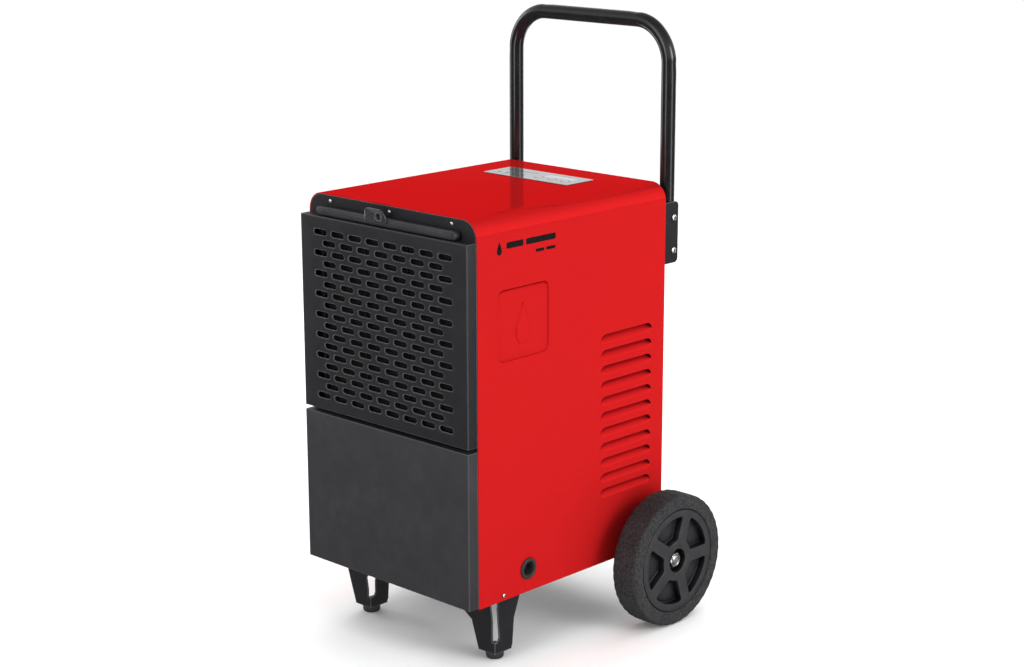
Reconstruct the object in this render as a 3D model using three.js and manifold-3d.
// Commercial refrigerant dehumidifier on two rear wheels and two front legs, with a fixed push handle.
// Millimetres, +Z up, front towards -Y. The origin is on the floor under the middle of the bounding box.
import * as THREE from 'three';
import { mergeVertices } from 'three/addons/utils/BufferGeometryUtils.js';
import { ConvexGeometry } from 'three/addons/geometries/ConvexGeometry.js';
import Module from 'manifold-3d';

// ---- driving dimensions -------------------------------------------------
const GAP = 0.3;
const SHEET = 1.5;

const COVER = { halfW: 193, front: -243, rear: 206, z0: 115, z1: 744, r: 30 };
const PANEL = { halfW: 192, front: -264, z0: 117, split0: 377, split1: 384, z1: 709.5 };
const SLOT = { rows: 17, pitchX: 41.2, pitchZ: 17.2, top: 683.8, length: 30.8, height: 9.2 };
const LOUVRE = { count: 11, top: 512.2, pitch: 26.65, y: 109.5, half: 65, flat: 52, height: 17, depth: 11 };
const BADGE = { y: -139.5, z: 568.5, size: 117, r: 13, depth: 2 };
const GROMMET = { y: -129.3, z: 154.4, r: 18, hole: 15, bore: 10.6 };
const WHEEL = { y: 150, r: 114, face: 279, width: 51, hubR: 89.2, hubFace: 277.4, hubBack: 230 };
const AXLE = { r: 8, z: 114 };
const LEG = { y: -185, right: 171, left: -127, t: 2.5, z0: 14.5, z1: 127.7 };
const HANDLE = { halfW: 174.5, y: 231, r: 12.5, z0: 610, z1: 1008, bend: 70 };
const BRACKET = { x0: 150, x1: 189.3, z0: 604, z1: 709, rear: 244, t: 2 };
const BASE_Z = 128;
const SHELF_Z = 374;
const FAN = { z: 560, bore: 118, r: 112 };
const STICKER = { x0: -107, x1: 87, y0: 76, y1: 145, z: 744.3, t: 0.7 };
const BUTTONS = [2, 32, 62];
const BUTTON_Y = 100;
const TANK = { halfW: 165, front: -262.2, rear: -62, z0: 130, z1: 362, wall: 3 };
const FLOAT = { y: -70, z: 321, pin: 1.6 };
const FILTER = { halfW: 155, y0: -254, y1: -246.5, z0: 402, z1: 708, bar: 161, barZ0: 710.2, barZ1: 724.5 };
const SIDE_SCREW = { y: -186.5, z: 123.4 };

// ---- finishes -----------------------------------------------------------
const finish = (color, roughness, metalness) => ({ color, roughness, metalness });
const RED = finish(0xc8151b, 0.22, 0.0);
const BLACK_COAT = finish(0x232326, 0.48, 0.1);
const BLACK_TUBE = finish(0x1b1b1d, 0.35, 0.2);
const RUBBER = finish(0x2b2b2d, 0.85, 0.0);
const HUB = finish(0x242427, 0.6, 0.0);
const ZINC = finish(0xc9cbcf, 0.3, 0.9);
const STEEL = finish(0x9fa3a8, 0.4, 0.8);
const GALVANISED = finish(0xb4b8bb, 0.5, 0.7);
const ALU = finish(0xc4c8ca, 0.45, 0.8);
const COPPER = finish(0xb8683a, 0.35, 0.9);
const GREY_PLASTIC = finish(0x6f7275, 0.55, 0.0);
const SMOKED = finish(0x55585c, 0.3, 0.0);
const WHITE_PLASTIC = finish(0xd9dcdc, 0.5, 0.0);
const BLACK_PLASTIC = finish(0x17181a, 0.5, 0.0);
const MEDIA = finish(0x3c3f42, 0.9, 0.0);
const STICKER_BLUE = finish(0xaab7c2, 0.5, 0.0);
const DISPLAY = finish(0x15202a, 0.15, 0.0);

// ---- solids -------------------------------------------------------------
const wasm = await Module();
wasm.setup();
const { Manifold, Mesh: SolidMesh } = wasm;

function signedVolume(position, index) {
  const a = new THREE.Vector3();
  const b = new THREE.Vector3();
  const c = new THREE.Vector3();
  let volume = 0;
  for (let i = 0; i < index.length; i += 3) {
    a.fromBufferAttribute(position, index[i]);
    b.fromBufferAttribute(position, index[i + 1]);
    c.fromBufferAttribute(position, index[i + 2]);
    volume += a.dot(b.cross(c)) / 6;
  }
  return volume;
}

// A closed three.js geometry as a manifold solid, its faces turned outwards.
function solid(geometry) {
  const bare = new THREE.BufferGeometry();
  bare.setAttribute('position', geometry.getAttribute('position').clone());
  if (geometry.index) bare.setIndex(geometry.index.clone());
  const merged = mergeVertices(bare, 1e-4);
  let index = [];
  const source = merged.index.array;
  for (let i = 0; i < source.length; i += 3) {
    const [a, b, c] = [source[i], source[i + 1], source[i + 2]];
    if (a !== b && b !== c && a !== c) index.push(a, b, c);
  }
  const position = merged.getAttribute('position');
  if (signedVolume(position, index) < 0) index = index.reverse();
  return new Manifold(new SolidMesh({
    numProp: 3,
    vertProperties: new Float32Array(position.array),
    triVerts: new Uint32Array(index),
  }));
}

function geometryOf(manifold) {
  const mesh = manifold.getMesh();
  const geometry = new THREE.BufferGeometry();
  geometry.setAttribute('position', new THREE.BufferAttribute(new Float32Array(mesh.vertProperties), 3));
  geometry.setIndex(new THREE.BufferAttribute(new Uint32Array(mesh.triVerts), 1));
  const flat = geometry.toNonIndexed();
  flat.computeVertexNormals();
  return flat;
}

const union = (first, ...rest) => rest.reduce((sum, item) => sum.add(item), first);
const cut = (first, ...rest) => rest.reduce((left, item) => left.subtract(item), first);

function box(x0, x1, y0, y1, z0, z1) {
  const geometry = new THREE.BoxGeometry(x1 - x0, y1 - y0, z1 - z0);
  geometry.translate((x0 + x1) / 2, (y0 + y1) / 2, (z0 + z1) / 2);
  return solid(geometry);
}

// The axes a flat shape's u, v and extrusion directions take in the object.
const ALONG = {
  x: [new THREE.Vector3(0, 1, 0), new THREE.Vector3(0, 0, 1), new THREE.Vector3(1, 0, 0)],
  y: [new THREE.Vector3(1, 0, 0), new THREE.Vector3(0, 0, 1), new THREE.Vector3(0, -1, 0)],
  z: [new THREE.Vector3(1, 0, 0), new THREE.Vector3(0, 1, 0), new THREE.Vector3(0, 0, 1)],
};

function prismGeometry(shape, axis, from, to, curveSegments = 6) {
  const geometry = new THREE.ExtrudeGeometry(shape, { depth: to - from, bevelEnabled: false, curveSegments });
  if (axis === 'y') geometry.translate(0, 0, -to);
  else geometry.translate(0, 0, from);
  return geometry.applyMatrix4(new THREE.Matrix4().makeBasis(...ALONG[axis]));
}

const prism = (...args) => solid(prismGeometry(...args));

// A round solid turned about a line along one axis; points are [radius, distance along the axis].
function turned(points, axis, at, segments = 24) {
  const profile = points.map(([r, along]) => new THREE.Vector2(r, along));
  const geometry = new THREE.LatheGeometry(profile, segments);
  if (axis === 'x') geometry.rotateZ(-Math.PI / 2);
  if (axis === 'z') geometry.rotateX(Math.PI / 2);
  geometry.translate(...at);
  return solid(geometry);
}

const disc = (r, axis, from, to, at, segments = 24) =>
  turned([[0, from], [r, from], [r, to], [0, to]], axis, at, segments);

function polygon(points) {
  return new THREE.Shape(points.map(([u, v]) => new THREE.Vector2(u, v)));
}

function roundedRect(u0, u1, v0, v1, r) {
  const shape = new THREE.Shape();
  shape.moveTo(u0 + r, v0);
  shape.lineTo(u1 - r, v0);
  shape.absarc(u1 - r, v0 + r, r, -Math.PI / 2, 0);
  shape.lineTo(u1, v1 - r);
  shape.absarc(u1 - r, v1 - r, r, 0, Math.PI / 2);
  shape.lineTo(u0 + r, v1);
  shape.absarc(u0 + r, v1 - r, r, Math.PI / 2, Math.PI);
  shape.lineTo(u0, v0 + r);
  shape.absarc(u0 + r, v0 + r, r, Math.PI, 1.5 * Math.PI);
  return shape;
}

// A doorway outline: square at the floor, rounded at both top corners.
function arch(halfW, v0, v1, r) {
  const shape = new THREE.Shape();
  shape.moveTo(-halfW, v0);
  shape.lineTo(halfW, v0);
  shape.lineTo(halfW, v1 - r);
  shape.absarc(halfW - r, v1 - r, r, 0, Math.PI / 2);
  shape.lineTo(-halfW + r, v1);
  shape.absarc(-halfW + r, v1 - r, r, Math.PI / 2, Math.PI);
  return shape;
}

// A short slot with pointed ends, centred on x, z.
function slotPoints(x, z, length, height) {
  const u = length / 2;
  const v = height / 2;
  const c = height * 0.4;
  const points = [[-u + c, -v], [u - c, -v], [u, 0], [u - c, v], [-u + c, v], [-u, 0]];
  return points.map(([du, dv]) => new THREE.Vector2(x + du, z + dv));
}

// A round tube or rod swept along straight runs joined by bends of one radius.
function bentRod(corners, bend, r, bore = 0, segments = 12, bendSteps = 6) {
  const points = corners.map((p) => new THREE.Vector3(...p));
  const stations = [points[0]];
  for (let i = 1; i < points.length - 1; i += 1) {
    const back = points[i - 1].clone().sub(points[i]).normalize();
    const on = points[i + 1].clone().sub(points[i]).normalize();
    const turn = Math.PI - back.angleTo(on);
    const reach = bend * Math.tan(turn / 2);
    const enter = points[i].clone().addScaledVector(back, reach);
    const leave = points[i].clone().addScaledVector(on, reach);
    const inwards = back.clone().add(on).normalize();
    const centre = points[i].clone().addScaledVector(inwards, bend / Math.cos(turn / 2));
    const from = enter.clone().sub(centre);
    const axis = from.clone().cross(leave.clone().sub(centre)).normalize();
    for (let k = 0; k <= bendSteps; k += 1) {
      const at = from.clone().applyAxisAngle(axis, (turn * k) / bendSteps);
      stations.push(at.add(centre));
    }
  }
  stations.push(points[points.length - 1]);
  return sweep(stations, r, bore, segments);
}

// Rings carried along the stations without twist, closed with flat end caps.
function sweep(stations, r, bore, segments) {
  const rings = [];
  const first = stations[1].clone().sub(stations[0]).normalize();
  const seed = Math.abs(first.z) < 0.9 ? new THREE.Vector3(0, 0, 1) : new THREE.Vector3(0, 1, 0);
  let side = seed.clone().cross(first).normalize();
  stations.forEach((point, i) => {
    const before = i > 0 ? point.clone().sub(stations[i - 1]).normalize() : null;
    const after = i < stations.length - 1 ? stations[i + 1].clone().sub(point).normalize() : null;
    const tangent = (before || after).clone().add(after || before).normalize();
    side = side.clone().addScaledVector(tangent, -side.dot(tangent)).normalize();
    rings.push({ point, side, up: tangent.clone().cross(side) });
  });
  const wall = (radius) => {
    const positions = [];
    const index = [];
    rings.forEach(({ point, side: u, up: v }) => {
      for (let k = 0; k < segments; k += 1) {
        const angle = (2 * Math.PI * k) / segments;
        const p = point.clone().addScaledVector(u, radius * Math.cos(angle));
        p.addScaledVector(v, radius * Math.sin(angle));
        positions.push(p.x, p.y, p.z);
      }
    });
    for (let i = 0; i < rings.length - 1; i += 1) {
      for (let k = 0; k < segments; k += 1) {
        const a = i * segments + k;
        const b = i * segments + ((k + 1) % segments);
        index.push(a, b, b + segments, a, b + segments, a + segments);
      }
    }
    const last = (rings.length - 1) * segments;
    for (let k = 1; k < segments - 1; k += 1) {
      index.push(0, k + 1, k);
      index.push(last, last + k, last + k + 1);
    }
    const geometry = new THREE.BufferGeometry();
    geometry.setAttribute('position', new THREE.Float32BufferAttribute(positions, 3));
    geometry.setIndex(index);
    return solid(geometry);
  };
  return bore > 0 ? wall(r).subtract(wall(bore)) : wall(r);
}

// ---- assembly -----------------------------------------------------------
const group = new THREE.Group();
group.name = 'dehumidifier';

function add(name, manifold, look) {
  const mesh = new THREE.Mesh(geometryOf(manifold), new THREE.MeshStandardMaterial(look));
  mesh.name = name;
  group.add(mesh);
}

// ---- red cover ----------------------------------------------------------
function louvreHull(side, top, grow, depth, lift) {
  const outer = side * (COVER.halfW + (grow > 0 ? -0.6 : 1));
  const inner = side * (COVER.halfW - depth);
  const low = top - LOUVRE.height - grow;
  const high = top + lift;
  const outline = [
    [LOUVRE.half + grow, low],
    [LOUVRE.half + grow - 3, low + 10],
    [LOUVRE.flat + grow, high],
  ];
  const points = [];
  for (const hand of [-1, 1]) {
    for (const [reach, z] of outline) points.push(new THREE.Vector3(outer, LOUVRE.y + hand * reach, z));
    points.push(new THREE.Vector3(inner, LOUVRE.y + hand * (LOUVRE.flat - 3 + grow), high));
  }
  return solid(new ConvexGeometry(points));
}

const badgeOutline = (half) =>
  roundedRect(BADGE.y - half, BADGE.y + half, BADGE.z - half, BADGE.z + half, BADGE.r);

function buildCover() {
  const { halfW, front, rear, z0, z1, r } = COVER;
  const outside = prism(arch(halfW, z0, z1, r), 'y', front, rear, 8);
  const inside = prism(arch(halfW - SHEET, z0 - 5, z1 - SHEET, r - SHEET), 'y', front - 1, rear + 1, 8);
  let cover = outside.subtract(inside);
  const half = BADGE.size / 2;
  const x = halfW;
  for (const side of [-1, 1]) {
    for (let k = 0; k < LOUVRE.count; k += 1) {
      const top = LOUVRE.top - k * LOUVRE.pitch;
      cover = cover.add(louvreHull(side, top, SHEET, LOUVRE.depth + SHEET, 0));
      cover = cover.subtract(louvreHull(side, top, 0, LOUVRE.depth, 0.2));
    }
    const [in0, in1] = side > 0 ? [x - BADGE.depth - SHEET, x - 1] : [-x + 1, -x + BADGE.depth + SHEET];
    const [out0, out1] = side > 0 ? [x - BADGE.depth, x + 1] : [-x - 1, -x + BADGE.depth];
    const backing = badgeOutline(half + 1);
    const recess = badgeOutline(half);
    cover = cover.add(prism(backing, 'x', in0, in1, 3));
    cover = cover.subtract(prism(recess, 'x', out0, out1, 3));
  }
  cover = cut(
    cover,
    disc(GROMMET.hole + 0.6, 'x', x - 4, x + 2, [0, GROMMET.y, GROMMET.z], 18),
    disc(2.2, 'x', -x - 2, x + 2, [0, SIDE_SCREW.y, SIDE_SCREW.z], 8),
    box(-x - 1, x + 1, WHEEL.y - 13, WHEEL.y + 13, z0 - 1, BASE_Z),
    box(BUTTONS[0] - 13, BUTTONS[BUTTONS.length - 1] + 13, 85, 136, z1 - 3, z1 + 2),
  );
  add('cover', cover, RED);
}

// ---- front frame and rear panel ------------------------------------------
function tray(front, rear, faceAtFront) {
  const halfW = COVER.halfW - SHEET - GAP;
  const top = COVER.z1 - SHEET - GAP;
  const r = COVER.r - SHEET - GAP;
  const outside = prism(arch(halfW, PANEL.z0 - 1, top, r), 'y', front, rear, 5);
  const [y0, y1] = faceAtFront ? [front + SHEET, rear + 1] : [front - 1, rear - SHEET];
  const inside = prism(arch(halfW - SHEET, PANEL.z0 - 9, top - SHEET, r - SHEET), 'y', y0, y1, 5);
  return outside.subtract(inside);
}

function buildFrontFrame() {
  let frame = tray(COVER.front, COVER.front + 14, true);
  frame = cut(
    frame,
    prism(roundedRect(-150, 150, 406, 692, 8), 'y', COVER.front - 1, COVER.front + 3, 2),
    box(-169, 169, COVER.front - 1, COVER.front + 3, TANK.z0 - 0.6, TANK.z1 + 6),
  );
  for (const x of [-140, 0, 140]) {
    frame = frame.subtract(disc(2.2, 'y', COVER.front - 2, COVER.front + 4, [x, 0, 733], 8));
    const head = [[0, -8], [1.7, -8], [1.7, GAP], [3.6, GAP], [3.6, 1.2], [0, 2.4]];
    const body = turned(head, 'z', [0, 0, 0], 8).rotate([90, 0, 0]).translate([x, COVER.front, 733]);
    add(`frame_screw_${x < 0 ? 'left' : x > 0 ? 'right' : 'mid'}`, body, ZINC);
  }
  add('front_frame', frame, BLACK_COAT);
}

function buildRearPanel() {
  let panel = tray(COVER.rear - 14, COVER.rear - 0.2, false);
  for (let row = 0; row < 6; row += 1) {
    for (const x of [-70, 0, 70]) {
      const slot = new THREE.Shape(slotPoints(x, 250 + row * 22, 48, 8));
      panel = panel.subtract(prism(slot, 'y', COVER.rear - 4, COVER.rear + 1));
    }
  }
  panel = panel.subtract(disc(9.4, 'y', -2, 4, [-150, COVER.rear, 172], 16));
  add('rear_panel', panel, BLACK_COAT);
  const y = COVER.rear;
  const nut = [[6.5, -14], [8.6, -14], [8.6, GAP], [14, GAP], [14, 5], [11, 14], [6.5, 18], [6.5, -14]];
  add('cable_gland', turned(nut.map(([r, along]) => [r, -along]), 'z', [0, 0, 0], 14)
    .rotate([90, 0, 0]).translate([-150, y, 172]), BLACK_PLASTIC);
}

// ---- grille panel and lower panel ----------------------------------------
function buildGrille() {
  const { halfW, front, split1, z1 } = PANEL;
  const face = polygon([[-halfW, split1], [halfW, split1], [halfW, z1], [-halfW, z1]]);
  for (let row = 0; row < SLOT.rows; row += 1) {
    const count = row % 2 === 0 ? 8 : 7;
    for (let k = 0; k < count; k += 1) {
      const x = (k - (count - 1) / 2) * SLOT.pitchX;
      const z = SLOT.top - row * SLOT.pitchZ;
      face.holes.push(new THREE.Path(slotPoints(x, z, SLOT.length, SLOT.height)));
    }
  }
  const back = COVER.front - GAP;
  const lip = FILTER.y0 - 1;
  add('grille_panel', union(
    prism(face, 'y', front, front + SHEET),
    box(-halfW, -halfW + SHEET, front, back, split1, z1),
    box(halfW - SHEET, halfW, front, back, split1, z1),
    box(-halfW, halfW, front, back, split1, split1 + SHEET),
    box(-halfW, halfW, front, lip, z1 - SHEET, z1),
  ), BLACK_COAT);
}

function buildLowerPanel() {
  const { halfW, front, z0, split0 } = PANEL;
  const back = COVER.front - GAP;
  const shell = box(-halfW, halfW, front, back, z0, split0);
  const hollow = box(-halfW + SHEET, halfW - SHEET, front + SHEET, back + 1, z0 + SHEET, split0 - SHEET);
  add('lower_panel', shell.subtract(hollow), BLACK_COAT);
}

// ---- air filter -----------------------------------------------------------
function buildFilter() {
  const { halfW, y0, y1, z0, z1, bar, barZ0, barZ1 } = FILTER;
  let frame = box(-halfW, halfW, y0, y1, z0, z1);
  const cellW = (2 * halfW - 24) / 3;
  for (let k = 0; k < 3; k += 1) {
    const x = -halfW + 8 + k * (cellW + 4);
    frame = frame.subtract(box(x, x + cellW, y0 - 1, y1 + 1, z0 + 8, z1 - 8));
  }
  const neck = box(-120, 120, y0 + 1, y1 - 1, z1 - 2, barZ0 + 2);
  const top = prism(roundedRect(-bar, bar, barZ0, barZ1, 7), 'y', y0 - 3, y1 + 0.5, 4);
  frame = union(frame, neck, top);
  const pocket = box(-halfW + 6, halfW - 6, y0 + 3, y1 - 2, z0 + 6, z1 - 6);
  add('filter_frame', frame.subtract(pocket), GREY_PLASTIC);
  add('filter_media', box(-halfW + 6.4, halfW - 6.4, y0 + 3.3, y1 - 2.3, z0 + 6.4, z1 - 6.4), MEDIA);
  const tab = new THREE.Shape();
  tab.moveTo(-40, 0);
  tab.lineTo(9, 0);
  tab.absarc(-7, 6, 16, 0, Math.PI / 2);
  tab.absarc(-32, 14, 8, Math.PI / 2, Math.PI);
  const ring = new THREE.Path();
  ring.absarc(-6.5, 10.5, 5.5, 0, 2 * Math.PI, true);
  tab.holes.push(ring);
  const pull = prism(tab, 'y', -1.3, 1.3, 3).rotate([5, 0, 0]);
  add('filter_tab', pull.translate([0, y0 - 5, barZ0 + 6.3]), SMOKED);
}

// ---- base, axle, wheels, legs ----------------------------------------------
function buildBase() {
  const halfW = COVER.halfW - 2 * (SHEET + GAP);
  const y0 = COVER.front + 2;
  const y1 = COVER.rear - 2;
  let pan = union(
    box(-halfW, halfW, y0, y1, BASE_Z, BASE_Z + SHEET),
    box(-halfW, -halfW + SHEET, y0, y1, 117.5, BASE_Z + SHEET),
    box(halfW - SHEET, halfW, y0, y1, 117.5, BASE_Z + SHEET),
  );
  pan = cut(
    pan,
    box(-halfW - 1, halfW + 1, WHEEL.y - 13, WHEEL.y + 13, 110, BASE_Z - 0.1),
    disc(2.2, 'x', -halfW - 2, halfW + 2, [0, SIDE_SCREW.y, SIDE_SCREW.z], 8),
  );
  add('base_pan', pan, GALVANISED);
  for (const side of [-1, 1]) {
    const head = [[0, -6.5], [1.7, -6.5], [1.7, GAP], [3.8, GAP], [3.8, 1.3], [0, 2.4]];
    const body = turned(head, 'x', [0, 0, 0], 8);
    const placed = side > 0 ? body : body.rotate([0, 0, 180]);
    const name = `side_screw_${side > 0 ? 'right' : 'left'}`;
    add(name, placed.translate([side * COVER.halfW, SIDE_SCREW.y, SIDE_SCREW.z]), ZINC);
  }
}

function buildAxle() {
  const shaft = [[0, -274.5], [8, -274.5], [8, -226.5], [12, -226.5], [12, -197], [8, -197]];
  const mirrored = shaft.map(([r, x]) => [r, -x]).reverse();
  add('axle', turned([...shaft, ...mirrored], 'x', [0, WHEEL.y, AXLE.z], 16), STEEL);
  for (const side of [-1, 1]) {
    const hand = side > 0 ? 'right' : 'left';
    const [x0, x1] = side > 0 ? [140, 158] : [-158, -140];
    const plate = polygon([[WHEEL.y - 24, 127.7], [WHEEL.y - 24, 122], [WHEEL.y - 14, 98], [WHEEL.y + 14, 98],
      [WHEEL.y + 24, 122], [WHEEL.y + 24, 127.7]]);
    const clamp = prism(plate, 'x', x0, x1);
    const bore = disc(AXLE.r + GAP, 'x', x0 - 1, x1 + 1, [0, WHEEL.y, AXLE.z], 16);
    add(`axle_bracket_${hand}`, clamp.subtract(bore), BLACK_COAT);
  }
}

// A blind spoke pocket: the area between two circles within one fifth of the wheel.
function pocketShape(angle) {
  const shape = new THREE.Shape();
  const half = [[36, 17], [41, 25], [67, 24], [74, 18]];
  const mirrored = half.map(([r, offset]) => [r, -offset]);
  const corners = [...mirrored, [75.5, 0], ...half.reverse()];
  corners.forEach(([r, offset], i) => {
    const a = ((angle + offset) * Math.PI) / 180;
    const point = [WHEEL.y + r * Math.cos(a), AXLE.z + r * Math.sin(a)];
    if (i === 0) shape.moveTo(...point);
    else shape.lineTo(...point);
  });
  return shape;
}

function buildWheels() {
  const { y, r, face, width, hubR, hubFace, hubBack } = WHEEL;
  const at = [0, y, AXLE.z];
  const back = face - width;
  const tread = [[hubR + GAP, back + 1], [hubR + GAP, face - 1], [r - 12, face], [r - 3.5, face - 4]];
  tread.push([r, face - 13], [r, back + 13], [r - 3.5, back + 4], [r - 12, back], [hubR + GAP, back + 1]);
  const disk = [[AXLE.r + GAP, hubBack], [hubR, hubBack], [hubR, hubFace - 1.5], [hubR - 2, hubFace]];
  disk.push([20.5, hubFace], [20.5, hubFace - 16], [AXLE.r + GAP, hubFace - 16], [AXLE.r + GAP, hubBack]);
  for (const side of [-1, 1]) {
    const hand = side > 0 ? 'right' : 'left';
    const turn = (points) => {
      const profile = points.map(([radius, x]) => [radius, side * x]);
      return turned(profile, 'x', at, 32);
    };
    add(`tyre_${hand}`, turn(tread), RUBBER);
    let hub = turn(disk);
    for (let k = 0; k < 5; k += 1) {
      const [x0, x1] = side > 0 ? [hubFace - 13, hubFace + 1] : [-hubFace - 1, -hubFace + 13];
      hub = hub.subtract(prism(pocketShape(36 + 72 * k), 'x', x0, x1));
    }
    add(`hub_${hand}`, hub, HUB);
    const seat = hubFace - 16 + GAP;
    const r0 = AXLE.r + 0.6;
    const washer = [[r0, seat], [15, seat], [15, seat + 1.8], [r0, seat + 1.8], [r0, seat]];
    add(`washer_${hand}`, turned(washer.map(([q, x]) => [q, side * x]), 'x', at, 12), ZINC);
    const hex = new THREE.Shape();
    for (let k = 0; k < 6; k += 1) {
      const a = (k * Math.PI) / 3;
      const point = [y + 13.2 * Math.cos(a), AXLE.z + 13.2 * Math.sin(a)];
      if (k === 0) hex.moveTo(...point);
      else hex.lineTo(...point);
    }
    const n0 = seat + 2.1;
    const [x0, x1] = side > 0 ? [n0, n0 + 9.5] : [-n0 - 9.5, -n0];
    const bore = disc(AXLE.r + 0.6, 'x', x0 - 1, x1 + 1, at, 12);
    add(`axle_nut_${hand}`, prism(hex, 'x', x0, x1).subtract(bore), ZINC);
  }
}

function buildLeg(hand, cornerX, shoulder, gap) {
  const { y, t, z0, z1 } = LEG;
  const { top, front: frontReach, side: sideReach } = gap;
  const c = cornerX;
  const wide = shoulder[1][0];
  const outerEdge = shoulder.map(([reach, z]) => [c - reach, z]);
  const front = polygon([[c, z0], [c - 35, z0], [c - 38.5, z0 + 3], ...outerEdge, [c - wide, z1], [c, z1]]);
  const side = polygon([[y, z0], [y + 36, z0], [y + 41, z0 + 6], [y + 45, 67], [y + 60, 106], [y + 60, z1],
    [y, z1]]);
  const frontGap = polygon([[c + 1, 33], [c - frontReach[0], 33], [c - frontReach[1], top], [c - 6, top + 5],
    [c + 1, top + 5]]);
  const sideGap = polygon([[y - 1, 33], [y + sideReach[0] - 2.5, 35.5], [y + sideReach[0], 41],
    [y + sideReach[1], top - 8], [y + sideReach[1] + 1, top - 3], [y + 6, top + 2], [y - 1, top + 5]]);
  const at = [c - 20, y + 20, 0];
  const leg = union(
    prism(front, 'y', y, y + t),
    prism(side, 'x', c - t, c),
    box(c - 38, c, y, y + 39, z0, z0 + t),
    box(c - wide, c, y, y + 60, z1 - t, z1),
  );
  add(`leg_${hand}`, cut(
    leg,
    prism(frontGap, 'y', y - 1, y + t + 4),
    prism(sideGap, 'x', c - t - 4, c + 1),
    disc(3.4, 'z', z0 - 1, z0 + t + 1, at, 10),
  ), BLACK_COAT);
  const pad = [[0, 0], [12.5, 0], [15.2, 4], [15.2, z0 - GAP], [2.9, z0 - GAP], [2.9, z0 + 8], [0, z0 + 8]];
  add(`foot_${hand}`, turned(pad, 'z', at, 14), RUBBER);
}

// ---- handle ----------------------------------------------------------------
function buildHandle() {
  const { halfW, y, r, z0, z1, bend } = HANDLE;
  const corners = [[-halfW, y, z0], [-halfW, y, z1], [halfW, y, z1], [halfW, y, z0]];
  let tube = bentRod(corners, bend, r, r - 2, 12, 6);
  const screwZ = [682, 626];
  for (const side of [-1, 1]) {
    const hand = side > 0 ? 'right' : 'left';
    const { x0, x1, z0: b0, z1: b1, rear, t } = BRACKET;
    const plate = new THREE.Shape();
    plate.moveTo(COVER.rear + GAP, b0);
    plate.lineTo(rear - 8, b0);
    plate.absarc(rear - 8, b0 + 8, 8, -Math.PI / 2, 0);
    plate.lineTo(rear, b1 - 8);
    plate.absarc(rear - 8, b1 - 8, 8, 0, Math.PI / 2);
    plate.lineTo(COVER.rear + GAP, b1);
    const [p0, p1] = side > 0 ? [x1 - t, x1] : [-x1, -x1 + t];
    const [f0, f1] = side > 0 ? [x0, x1] : [-x1, -x0];
    let bracket = prism(plate, 'x', p0, p1, 4);
    bracket = bracket.add(box(f0, f1, COVER.rear + GAP, COVER.rear + GAP + t, b0, b1));
    for (const [k, z] of screwZ.entries()) {
      const inner = side * (halfW - 4);
      const outer = side * (x1 + 3);
      const hole = disc(3.5, 'x', Math.min(inner, outer), Math.max(inner, outer), [0, y, z], 8);
      bracket = bracket.subtract(hole);
      tube = tube.subtract(hole);
      const head = [[0, -13], [3, -13], [3, GAP], [5.6, GAP], [5.6, 1.4], [3.8, 3.3], [0, 4]];
      const body = turned(head, 'x', [0, 0, 0], 8);
      const placed = side > 0 ? body : body.rotate([0, 0, 180]);
      add(`handle_screw_${hand}_${k + 1}`, placed.translate([side * x1, y, z]), ZINC);
    }
    add(`handle_bracket_${hand}`, bracket, BLACK_COAT);
  }
  add('handle', tube, BLACK_TUBE);
}

// ---- condensate tank and its bay ---------------------------------------------
function buildTank() {
  const { halfW, front, rear, z0, z1, wall } = TANK;
  const outer = prism(roundedRect(-halfW, halfW, front, rear, 10), 'z', z0, z1, 3);
  const innerOutline = roundedRect(-halfW + wall, halfW - wall, front + wall, rear - wall, 7);
  let tank = outer.subtract(prism(innerOutline, 'z', z0 + wall, z1 + 1, 3));
  for (const x of [-9, 5.5]) {
    const clip = box(x, x + 3.5, FLOAT.y - 5, rear - 1, FLOAT.z - 6, FLOAT.z + 6);
    const hole = disc(FLOAT.pin + GAP, 'x', x - 1, x + 5, [0, FLOAT.y, FLOAT.z], 10);
    tank = tank.add(clip.subtract(hole));
  }
  add('tank', tank, WHITE_PLASTIC);
  const foot = BASE_Z + SHEET + GAP;
  const back = -48.5;
  const shelf = polygon([[-236, SHELF_Z], [back - SHEET, SHELF_Z], [back - SHEET, foot], [back, foot],
    [back, SHELF_Z + SHEET], [-236, SHELF_Z + SHEET]]);
  const drain = disc(11, 'z', SHELF_Z - 2, SHELF_Z + 4, [0, -150, 0], 16);
  add('tank_bay_shelf', prism(shelf, 'x', -180, 180).subtract(drain), GALVANISED);
  const bulb = roundedRect(FLOAT.y - 35, FLOAT.y - 8, FLOAT.z - 22, FLOAT.z + 4, 5);
  const arm = box(-5, 5, FLOAT.y - 10, FLOAT.y + 2, FLOAT.z - 2, FLOAT.z + 2);
  const pin = disc(FLOAT.pin, 'x', -9, 9, [0, FLOAT.y, FLOAT.z], 10);
  add('tank_float', union(prism(bulb, 'x', -30, 30, 2), arm, pin), BLACK_PLASTIC);
}

// ---- refrigeration circuit -----------------------------------------------------
function finBlock(y0, y1) {
  const points = [];
  const teeth = 11;
  const half = 146;
  const step = (2 * half) / (teeth * 2 - 1);
  for (let k = 0; k < teeth; k += 1) {
    const x = -half + 2 * k * step;
    points.push([x, y0], [x + step, y0]);
    if (k < teeth - 1) points.push([x + step, y0 + 8], [x + 2 * step, y0 + 8]);
  }
  for (let k = teeth - 1; k >= 0; k -= 1) {
    const x = -half + 2 * k * step;
    points.push([x + step, y1], [x, y1]);
    if (k > 0) points.push([x, y1 - 8], [x - step, y1 - 8]);
  }
  return prism(polygon(points), 'z', SHELF_Z + SHEET + 3.6, 690);
}

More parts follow.
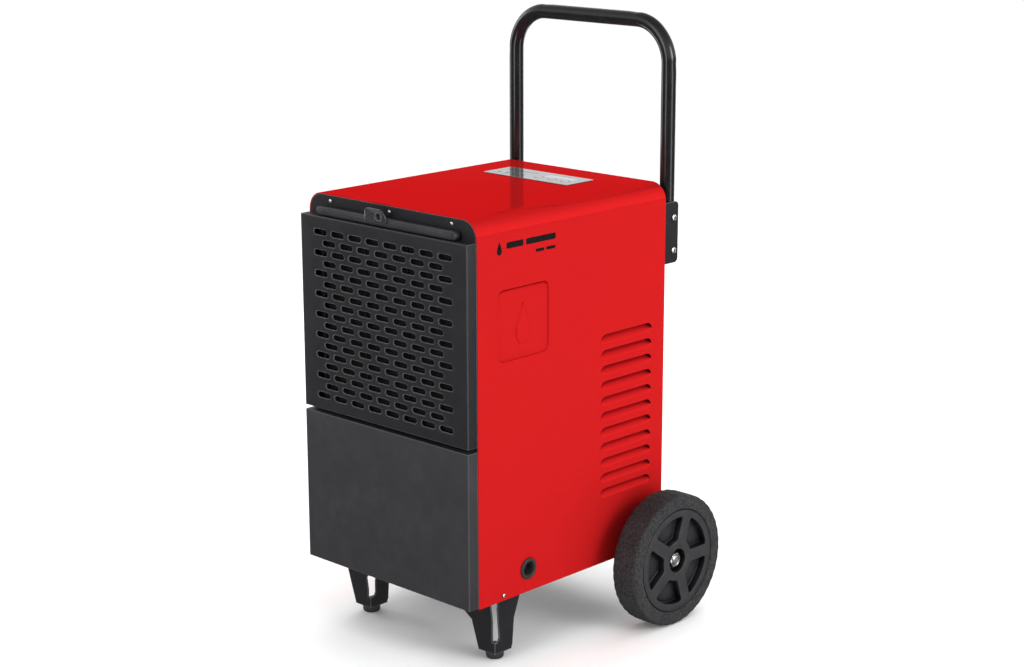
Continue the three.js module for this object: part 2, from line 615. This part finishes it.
function buildCircuit() {
  const base = SHELF_Z + SHEET + GAP;
  const outer = box(-165, 165, -228, -122, base, base + 20);
  const inner = box(-163, 163, -226, -124, base + 2, base + 21);
  const spout = disc(9, 'z', SHELF_Z - 10, base + 1, [0, -150, 0], 16);
  const bore = disc(7, 'z', SHELF_Z - 11, base + 3, [0, -150, 0], 16);
  add('drip_tray', union(outer.subtract(inner), spout).subtract(bore), WHITE_PLASTIC);
  add('evaporator', finBlock(-218, -180), ALU);
  add('condenser', finBlock(-166, -128), ALU);

  const plate = polygon([[-175, base], [175, base], [175, 715], [165, 727], [-165, 727], [-175, 715]]);
  const opening = new THREE.Path();
  opening.absarc(0, FAN.z, FAN.bore + 0.5, 0, 2 * Math.PI, true);
  plate.holes.push(opening);
  const lip = FAN.bore + 2;
  const mouth = [[FAN.bore, -118], [lip, -118], [lip, -94], [FAN.bore, -94], [FAN.bore, -118]];
  const ring = turned(mouth.map(([r, along]) => [r, -along]), 'z', [0, 0, 0], 28).rotate([90, 0, 0]);
  add('fan_shroud', prism(plate, 'y', -119.5, -118, 7).add(ring.translate([0, 0, FAN.z])), GALVANISED);

  const boss = [[0, -50], [5, -50], [5, -68], [34, -68], [34, -106], [28, -110], [0, -110]];
  let impeller = turned(boss, 'z', [0, 0, 0], 14).rotate([90, 0, 0]).mirror([0, 1, 0]);
  for (let k = 0; k < 7; k += 1) {
    const blade = solid(new THREE.BoxGeometry(FAN.r - 30, 2.4, 34));
    const pitched = blade.rotate([32, 0, 0]).translate([(FAN.r + 30) / 2, -87, 0]);
    impeller = impeller.add(pitched.rotate([0, (360 / 7) * k, 0]));
  }
  add('fan_impeller', impeller.translate([0, 0, FAN.z]), BLACK_PLASTIC);

  const can = [[0, -47], [5.8, -47], [5.8, -62], [30, -62], [30, -58], [45, -58], [45, 4], [38, 10], [0, 10]];
  const motor = turned(can.map(([r, along]) => [r, -along]), 'z', [0, 0, 0], 16).rotate([90, 0, 0]);
  add('fan_motor', motor.translate([0, 0, FAN.z]), STEEL);
  const stand = polygon([[-60, base], [60, base], [60, FAN.z - 20], [36, FAN.z + 46], [-36, FAN.z + 46],
    [-60, FAN.z - 20]]);
  const collar = new THREE.Path();
  collar.absarc(0, FAN.z, 32, 0, 2 * Math.PI, true);
  stand.holes.push(collar);
  const foot = box(-60, 60, -61, -49, base, base + 2);
  add('motor_stand', prism(stand, 'y', -61, -58.5, 5).add(foot), GALVANISED);
}

function buildCompressor() {
  const at = [-75, 80, 0];
  const dome = [[0, 150], [50, 158], [61, 180], [61, 350], [50, 378], [7, 390], [7, 396], [0, 396]];
  const base = prism(roundedRect(-155, 5, 10, 150, 20), 'z', 147.2, 152, 3);
  const holes = [[-145, 22], [-5, 22], [-145, 138]];
  let shell = turned(dome, 'z', at, 18).add(base);
  for (const [k, [x, y]] of holes.entries()) {
    shell = shell.subtract(disc(6, 'z', 146, 153, [x, y, 0], 10));
    const seat = BASE_Z + SHEET + GAP;
    const rubber = [[0, seat], [11, seat], [11, 146.9], [5, 146.9], [5, 154], [0, 154]];
    add(`compressor_mount_${k + 1}`, turned(rubber, 'z', [x, y, 0], 10), RUBBER);
  }
  const bottle = [[0, 175], [24, 188], [24, 316], [7, 330], [7, 334], [0, 334]];
  const strap = box(-30, 0, 74, 86, 250, 270);
  add('compressor', union(shell, turned(bottle, 'z', [11, 80, 0], 12), strap), BLACK_COAT);
  const suction = [[146.3, -199, 640], [182, -199, 640], [182, 20, 640], [11, 80, 640], [11, 80, 334.2]];
  add('suction_pipe', bentRod(suction, 14, 5, 0, 8, 3), COPPER);
  const discharge = [[-75, 80, 396.2], [-75, 80, 470], [-75, 20, 520], [-182, 20, 560], [-182, -147, 560],
    [-146.3, -147, 560]];
  add('discharge_pipe', bentRod(discharge, 12, 4, 0, 8, 3), COPPER);
}

// ---- controls and hose grommet ---------------------------------------------------
function buildControls() {
  const { x0, x1, y0, y1, z, t } = STICKER;
  let sticker = prism(roundedRect(x0, x1, y0, y1, 3), 'z', z, z + t, 2);
  sticker = sticker.subtract(box(0, 66, 112, 131, z - 1, z + t + 1));
  for (const x of BUTTONS) {
    sticker = sticker.subtract(disc(6.5, 'z', z - 1, z + t + 1, [x, BUTTON_Y, 0], 12));
  }
  add('control_panel', sticker, STICKER_BLUE);
  add('display_window', box(GAP, 66 - GAP, 112.3, 130.7, z - 0.6, z + t - 0.1), DISPLAY);
  for (const [k, x] of BUTTONS.entries()) {
    const cap = [[0, 739.5], [3.5, 739.5], [3.5, z - 0.6], [6, z - 0.6], [6, z + t + 0.6], [0, z + t + 0.9]];
    add(`button_${k + 1}`, turned(cap, 'z', [x, BUTTON_Y, 0], 12), WHITE_PLASTIC);
  }
  const top = COVER.z1 - SHEET - GAP;
  const boxOuter = box(-95, 85, 78, 143, 702, top);
  const boxInner = box(-93, 83, 80, 141, 704, top + 1);
  add('control_box', boxOuter.subtract(boxInner), BLACK_PLASTIC);
  const { y, z: gz, r, hole, bore } = GROMMET;
  const x = COVER.halfW;
  const ring = [[bore, -6], [r - 1, -5], [r - 1, -SHEET - GAP], [hole, -SHEET - GAP], [hole, GAP], [r, GAP]];
  ring.push([r - 2.5, 3.2], [bore + 1.5, 3.2], [bore, -6]);
  add('hose_grommet', turned(ring, 'x', [x, y, gz], 18), RUBBER);
}

buildCover();
buildFrontFrame();
buildRearPanel();
buildGrille();
buildLowerPanel();
buildFilter();
buildBase();
buildAxle();
buildWheels();
buildLeg('right', LEG.right, [[53, 62], [70, 73]], { top: 100, front: [1.5, 10.5], side: [10.5, 6.5] });
buildLeg('left', LEG.left, [[57, 73], [57.5, 82]], { top: 68, front: [4, 10], side: [12.5, 12.5] });
buildHandle();
buildTank();
buildCircuit();
buildCompressor();
buildControls();

export default group;
